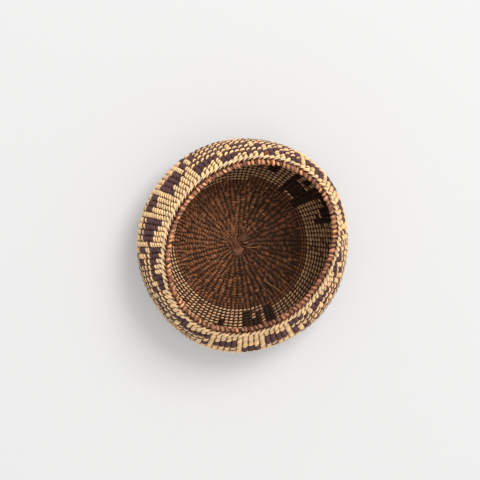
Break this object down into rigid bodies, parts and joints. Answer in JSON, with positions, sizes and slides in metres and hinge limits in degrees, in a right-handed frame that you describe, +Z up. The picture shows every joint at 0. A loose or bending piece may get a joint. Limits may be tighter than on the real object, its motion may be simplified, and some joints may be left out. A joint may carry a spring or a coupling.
{
  "type": "twined basket",
  "caption": "Small twined bowl basket with a flat floor, a wide rounded belly and an incurved, slightly oval mouth with a bound edge.",
  "frame": {"origin": "on the underside, in the middle of the flat floor", "axes": "+Z up out of the mouth; the mouth's long axis lies 43 degrees from +X towards +Y"},
  "size_m": [0.1504, 0.1504, 0.0499],
  "materials": {
    "brown_root": "dry twined root, dark reddish brown",
    "warp_shoots": "dry split shoots",
    "figured_weft": "straw and dark dyed weft in blocks, satin",
    "inner_weft": "dry tan weft with dark blocks",
    "straw": "golden straw, satin",
    "rim_root": "reddish tan root, worn"
  },
  "bodies": {
    "root": {"outer_floor_weft": "brown_root", "inner_floor_weft": "brown_root", "start_knot": "brown_root", "warps": "warp_shoots", "outer_heel_weft": "brown_root", "inner_heel_weft": "brown_root", "outer_lower_wall_weft": "figured_weft", "inner_lower_wall_weft": "inner_weft", "outer_figured_weft": "figured_weft", "inner_figured_weft": "inner_weft", "light_round": "straw", "speckled_round": "figured_weft", "inner_top_rounds": "inner_weft", "rim_cord": "rim_root"}
  },
  "joints": []
}
